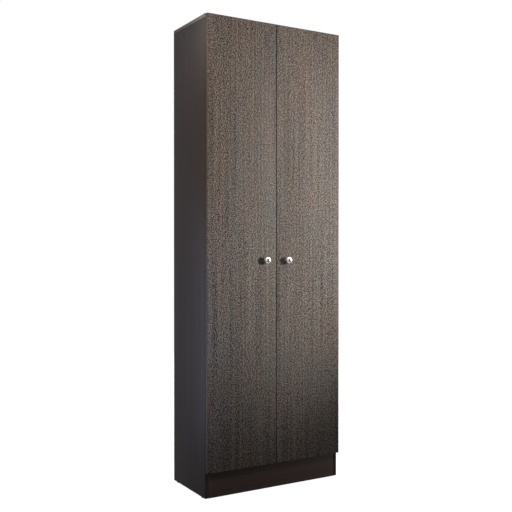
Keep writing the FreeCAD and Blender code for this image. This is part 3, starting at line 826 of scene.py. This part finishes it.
def hinge_cups(side):
    """Pressed cups: a round plug with a rim, hollowed by the pocket that the arm folds into."""
    radius = cup_radius(side)
    profile = [                      # radius and depth: the sunk face, the rim, the wall and the bottom
        (cup_pole, cup_face_sink),
        (radius - cup_face_edge, cup_face_sink),
        (radius - cup_rim_width, 0.0),
        (radius - cup_rim_rounding, 0.0),
        (radius, cup_rim_rounding),
        (radius, cup_depth - cup_chamfer),
        (radius - cup_chamfer, cup_depth),
    ]
    to_edge = -X if side == "left" else X
    plugs, pockets = [], []
    for place in cup_places(side):
        plugs.append(turned(*zip(*profile), place, -Y, cup_sides))
        near = place + to_edge * radius
        far = near - to_edge * pocket_length
        corner_low = np.minimum(near, far) - [0, cup_depth - cup_floor, pocket_half_width]
        corner_high = np.maximum(near, far) + [0, drill_start, pocket_half_width]
        pockets.append(softened_block(corner_low, corner_high, pocket_softening))
    made = cut(bare_object(side + "_cups", plugs), pockets)
    seat_piece(made, finishes["nylon"], side + "_door", "cup_plastic", side + "_hinge_cups")


def crossed_slots(radius, reach, width, depth):
    """How far a head sinks at each point: two slots that cross at its middle.

    A slot is full depth in its middle and runs out evenly towards its sides and its ends.
    """
    turn = full_turn(round_sides)
    x, y = radius[:, None] * np.cos(turn), radius[:, None] * np.sin(turn)
    narrow, far = np.minimum(abs(x), abs(y)), np.maximum(abs(x), abs(y))
    across = np.clip((width - narrow) / (slot_side * width), 0, 1)
    along = np.clip((reach - far) / (slot_end * reach), 0, 1)
    return depth * across * along


# rings of a head from its edge inwards, as shares of its radius
HEAD_RINGS = np.array([1.0, 0.97, 0.9, 0.78, 0.66, 0.54, 0.43, 0.33, 0.24, 0.15, 0.07, 0.01])
CAM_RINGS = np.array([1.0, 0.95, 0.93, 0.82, 0.7, 0.6, 0.5, 0.4, 0.3, 0.2, 0.1, 0.01])
NAIL_RINGS = np.linspace(1, 0.02, 6)


def pan_head(seat, out, radius, height, shank_radius, shank_length):
    """A screw: its shank in the material, and a head with a low wall, a dome and crossed slots.

    The dome's height goes with the square root of 1 less the square of a ring's share of the radius.
    """
    dome = height * (head_wall + (1 - head_wall) * np.sqrt(1 - HEAD_RINGS ** 2))
    slots = crossed_slots(HEAD_RINGS * radius, head_slot_reach * radius, head_slot_width * radius,
                          head_slot_depth * height)
    distance = np.vstack([np.zeros(round_sides), dome[:, None] - slots])
    head = turned(np.append(radius, HEAD_RINGS * radius), distance, seat, out)
    shank = turned([screw_point * shank_radius, shank_radius, shank_radius],
                   [-shank_length, (screw_point - 1) * shank_length, 0], seat, out, shank_sides)
    return [head, shank]


def screws(node, name, size, extra=()):
    """Every screw of a node, with its head on the side that faces out of the board."""
    head_height, shank_radius = size
    shells = []
    for low, high in solids(node):
        length, middle = high - low, (low + high) / 2
        way = int(np.argmax(length))
        out = (-np.sign(middle[ACROSS]) * X, Y, -Z)[way]
        seat = middle + out * length[way] / 2 - out * head_height
        radius = np.delete(length, way).max() / 2
        shells += pan_head(seat, out, radius, head_height, shank_radius, length[way] - head_height)
    made = bare_object(name, shells + list(extra))
    return seat_piece(made, finishes["zinc"], body_of(node), "zinc_steel", node)


def strike_plate(side):
    """The plate that the catch holds, and its two screws."""
    node, body = side + "_strike_plate", side + "_door"
    seat_piece(softened_copy(node, side + "_strike", sheet_metal_softening), finishes["zinc"], body,
               "zinc_steel", node)
    low, high = box(node)
    middle = middle_at(low, high, THROUGH, high[THROUGH])
    heads = []
    for way in (-X, X):
        heads += pan_head(middle + way * strike_screw_spacing / 2, Y, *strike_screw)
    seat_piece(bare_object(side + "_strike_screws", heads), finishes["zinc"], body, "zinc_steel")


def door_bumpers(side):
    """Soft dots: a low wall, then a dome whose outline is a quarter ellipse."""
    node = side + "_door_bumpers"
    angle = quarter_turn(8)
    dots = []
    for low, high in solids(node):
        radius, height = (high - low)[ACROSS] / 2, (high - low)[THROUGH]
        rings = np.append(radius, (radius - bumper_pole) * np.cos(angle) + bumper_pole)
        reach = np.append(0, height * (bumper_wall + (1 - bumper_wall) * np.sin(angle)))
        dots.append(turned(rings, reach, middle_at(low, high, THROUGH, low[THROUGH]), Y))
    seat_piece(bare_object(side + "_bumpers", dots), finishes["rubber"], side + "_door", "clear_rubber", node)


def knob(side):
    """A turned mushroom knob: a thin foot, a waisted neck, a flare and a low crown.

    The neck draws in along a parabola; the flare and the crown are quarter ellipses.
    """
    node = side + "_knob"
    low, high = box(node)
    reach = (high - low)[THROUGH]
    foot = [                         # radius and distance: a low wall and a soft shoulder
        (knob_foot_radius, 0.0),
        (knob_foot_radius, knob_foot_thickness * knob_foot_wall),
        (knob_foot_radius * knob_shoulder_radius, knob_foot_thickness * knob_shoulder_height),
        (knob_waist_radius, knob_foot_thickness),
    ]
    share = np.linspace(0, 1, 9)[1:]
    neck_radius = knob_neck_radius + (knob_waist_radius - knob_neck_radius) * (1 - share) ** 2
    neck_reach = knob_foot_thickness + (knob_neck_distance - knob_foot_thickness) * share
    flare = quarter_turn(14)[1:]
    flare_radius = knob_neck_radius + (knob_head_radius - knob_neck_radius) * np.sin(flare)
    flare_reach = knob_widest_distance - (knob_widest_distance - knob_neck_distance) * np.cos(flare)
    crown = quarter_turn(20)[1:]
    crown_radius = knob_head_radius * np.cos(crown) + knob_pole
    crown_reach = knob_widest_distance + (reach - knob_widest_distance) * np.sin(crown)
    foot_radius, foot_reach = zip(*foot)
    radius = np.concatenate([foot_radius, neck_radius, flare_radius, crown_radius])
    distance = np.concatenate([foot_reach, neck_reach, flare_reach, crown_reach])
    seat = middle_at(low, high, THROUGH, high[THROUGH])
    made = bare_object(side + "_pull", [turned(radius, distance, seat, -Y, knob_sides)])
    seat_piece(made, finishes["nickel"], side + "_door", "bright_nickel", node)


# ---- the hinges' fixed parts ----
def hinge_fittings(side):
    """Arms and plates with softened edges, and their screws; the adjusting screws sit on the arms."""
    for part, finish in (("arms", "steel"), ("plates", "zinc")):
        node = side + "_hinge_" + part
        made = softened_copy(node, node + "_pressed", sheet_metal_softening)
        seat_piece(made, finishes[finish], "carcass", "hinge_steel", node)
    screws(side + "_hinge_plate_screws", side + "_plate_screws", plate_screw)
    head_height, _ = arm_screw
    adjusting = []
    for low, high in solids(side + "_hinge_arm_screws"):
        middle = (low + high) / 2
        out = -np.sign(middle[ACROSS]) * X
        seat = middle + out * ((high - low)[ACROSS] / 2 - head_height) - Y * adjusting_screw_ahead
        adjusting += pan_head(seat, out, *adjusting_screw)
    screws(side + "_hinge_arm_screws", side + "_arm_screws", arm_screw, adjusting)


# ---- small fittings of the carcass ----
def cam_discs():
    """Cam housings seen from their mouths: a rim, a sunk face and a crossed driver slot."""
    sunk = np.where(CAM_RINGS > cam_rim, cam_rim_sink, cam_face_sink)
    slots = crossed_slots(CAM_RINGS * cam_radius, cam_slot_reach * cam_radius, cam_slot_width * cam_radius,
                          cam_slot_depth)
    radius = np.append([cam_radius - cam_chamfer, cam_radius], CAM_RINGS * cam_radius)
    bottom = np.full(round_sides, -cam_depth)
    distance = np.vstack([bottom, bottom + cam_chamfer, -(sunk[:, None] + slots)])
    shells = [turned(radius, distance, mouth, way) for mouth, way in cams]
    seat_piece(bare_object("cam_discs", shells), finishes["cast"], "carcass", "cast_zinc", "cam_housings")


def shelf_pegs():
    """Steel pegs: a taper at the end in the hole, and a quarter circle round the free end."""
    low, high = solids("shelf_pins")[0]
    radius = (high - low)[UP] / 2
    angle = quarter_turn(5)
    tip_radius = radius - peg_tip * (1 - np.cos(angle))
    tip_reach = peg_out - peg_tip * (1 - np.sin(angle))
    rings = np.concatenate([[radius * peg_taper_share, radius], tip_radius, [peg_pole]])
    reach = np.concatenate([[-peg_in, peg_taper - peg_in], tip_reach, [peg_out]])
    shells = [turned(rings, reach, mouth, way, peg_sides) for mouth, way in pins]
    seat_piece(bare_object("shelf_pegs", shells), finishes["zinc"], "carcass", "zinc_steel", "shelf_pins")


def nail_heads():
    """Round nails on the back sheets: a shank with a point, and a head domed like a screw's."""
    dome = nail_head_height * (nail_head_wall + (1 - nail_head_wall) * np.sqrt(1 - NAIL_RINGS ** 2))
    shells = []
    for low, high in solids("back_nails"):
        seat = middle_at(low, high, THROUGH, high[THROUGH] - nail_head_height)
        radius = (high - low)[ACROSS] / 2
        tip = low[THROUGH] - seat[THROUGH]
        rings = np.concatenate([[nail_point_radius, nail_radius, nail_radius, radius], radius * NAIL_RINGS])
        reach = np.concatenate([[tip, tip + nail_point_length, 0, 0], dome])
        shells.append(turned(rings, reach, seat, Y, nail_sides))
    made = bare_object("back_nail_heads", shells)
    seat_piece(made, finishes["zinc"], "carcass", "zinc_steel", "back_nails")


def glide_feet():
    """Nail-on glides: a nail with a point, and a disc that draws in towards the floor."""
    shells = []
    for low, high in solids("floor_glides"):
        radius, top = (high - low)[ACROSS] / 2, high[UP]
        profile = [                  # radius and height above the floor
            (nail_point_radius, top),
            (nail_radius, top - nail_point_length),
            (nail_radius, glide_height),
            (radius, glide_height),
            (radius, glide_wall_foot),
            (radius * glide_shoulder_share, glide_shoulder),
            (radius * glide_sole_share, 0.0),
        ]
        rings, levels = zip(*profile)
        shells.append(turned(rings, -np.array(levels), middle_at(low, high, UP, 0.0), -Z, glide_sides))
    made = bare_object("glide_feet", shells)
    seat_piece(made, finishes["brown"], "carcass", "brown_plastic", "floor_glides")


def pressed_fittings():
    """Angle brackets, catches, their poles and the back's joining strip, with softened edges."""
    fittings = (
        ("plinth_brackets", "zinc", "zinc_steel", sheet_metal_softening),
        ("wall_bracket", "zinc", "zinc_steel", sheet_metal_softening),
        ("catch_housings", "brown", "brown_plastic", plastic_softening),
        ("catch_poles", "pole", "zinc_steel", sheet_metal_softening),
        ("back_joining_strip", "brown", "brown_plastic", strip_softening),
    )
    for node, finish, slot, soft in fittings:
        made = softened_copy(node, node + "_softened", soft)
        seat_piece(made, finishes[finish], body_of(node), slot, node)
    screws("plinth_bracket_screws", "plinth_screws", bracket_screw)
    screws("wall_bracket_screws", "wall_screws", bracket_screw)


def plain_nodes():
    """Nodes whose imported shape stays: only their finish changes."""
    kept = {
        "back_upper_sheet": "hardboard",
        "back_lower_sheet": "hardboard",
        "cam_bolts": "zinc",
        "dowels": "beech",
        "left_hinge_pins": "steel",
        "right_hinge_pins": "steel",
    }
    for node, finish in kept.items():
        for slot in frame["nodes"][node].material_slots:
            slot.material = finishes[finish]


# ---- stage, camera and light ----
def floor():
    """A wide square that glows nearly white, so that it shows no edge."""
    mesh = bpy.data.meshes.new("floor")
    corners = [(x * floor_reach, y * floor_reach, 0) for x, y in ((-1, -1), (1, -1), (1, 1), (-1, 1))]
    mesh.from_pydata(corners, [], [(0, 1, 2, 3)])
    paint = Finish("floor_paint", Base_Color=floor_grey, Roughness=0.9, Specular_IOR_Level=0.0,
                   Emission_Color=WHITE, Emission_Strength=floor_glow)
    mesh.materials.append(paint.material)
    made = placed("floor", mesh)
    made.visible_diffuse = False
    made.visible_glossy = False


def camera():
    """Looks from the left front, slightly down."""
    data = bpy.data.cameras.new("camera")
    data.lens = camera_lens
    data.sensor_width = camera_sensor
    data.shift_y = camera_shift
    made = placed("camera", data)
    made.location = camera_place
    made.rotation_euler = (pi / 2 - camera_dip, 0, -camera_turn)
    bpy.context.scene.camera = made


def lamp(name, kind, place, aim, power, colour, mirrored=True, narrowed=1.0, **settings):
    """A lamp that the camera doesn't see; a narrowed cone is that much less wide than high."""
    data = bpy.data.lights.new(name, kind)
    data.energy = power
    data.color = colour
    for setting, value in settings.items():
        setattr(data, setting, value)
    made = placed(name, data)
    made.location = place
    made.rotation_euler = (Vector(aim) - Vector(place)).to_track_quat("-Z", "Y").to_euler()
    made.scale = (narrowed, 1.0, 1.0)
    made.visible_camera = False
    made.visible_glossy = mirrored


def surroundings():
    """A white studio to the eye, even light for matt surfaces, and soft bright sides for gloss."""
    world = bpy.data.worlds.new("studio")
    bpy.context.scene.world = world
    world.use_nodes = True
    nodes = Nodes(world.node_tree)
    way = nodes.add("TexCoord", {}, {}, "Generated")

    def towards(direction, start, end):
        """How nearly a ray goes in a direction: 0 up to the start, then a smooth rise to 1 at the end."""
        facing = nodes.add("VectorMath", {"operation": "DOT_PRODUCT"}, {0: way, 1: tuple(direction)}, "Value")
        return nodes.add("MapRange", {"interpolation_type": "SMOOTHSTEP"},
                         {"Value": facing, "From Min": start, "From Max": end})

    gloss = (0.0, 0.0, 0.0)
    for direction, edge, colour in studio_glows:
        share = towards(direction, edge, 1.0)
        glow = nodes.add("VectorMath", {"operation": "SCALE"}, {0: colour, "Scale": share})
        gloss = nodes.add("VectorMath", {"operation": "ADD"}, {0: gloss, 1: glow})
    lit = 1.0 - towards(-Z, 0.0, dim_full) * dim_below
    for direction in dark_patches:
        lit = lit * (1.0 - towards(direction, *dark_patch_edge) * dark_patch_share)
    gloss = nodes.add("VectorMath", {"operation": "SCALE"}, {0: gloss, "Scale": lit})
    mirrored = nodes.add("LightPath", {}, {}, "Is Glossy Ray")
    seen = nodes.add("LightPath", {}, {}, "Is Camera Ray")
    colour = nodes.mix(mirrored, studio_soft, gloss)
    background = world.node_tree.nodes["Background"]
    nodes.feed(background.inputs["Color"], nodes.mix(seen, colour, WHITE))


def lights():
    """The studio, the key lamp, three strips beside the left side, and lamps above and behind."""
    surroundings()
    lamp("key", **key_lamp)
    for name, height, length, power, colour in side_lamps:
        lamp(name, "AREA", (*side_lamp_place, height), (*side_lamp_aim, height), power, colour, False,
             shape="RECTANGLE", size=side_lamp_width, size_y=length)
    lamp("top", **top_lamp)
    lamp("rear", **rear_lamp)
    bpy.context.scene.view_settings.view_transform = "Standard"


carcass_boards()
cam_discs()
shelf_pegs()
nail_heads()
glide_feet()
pressed_fittings()
plain_nodes()
for each in SIDES:
    door(each)
    hinge_cups(each)
    hinge_fittings(each)
    strike_plate(each)
    screws(each + "_knob_screw", each + "_knob_bolt", knob_screw)
    door_bumpers(each)
    knob(each)
floor()
camera()
lights()
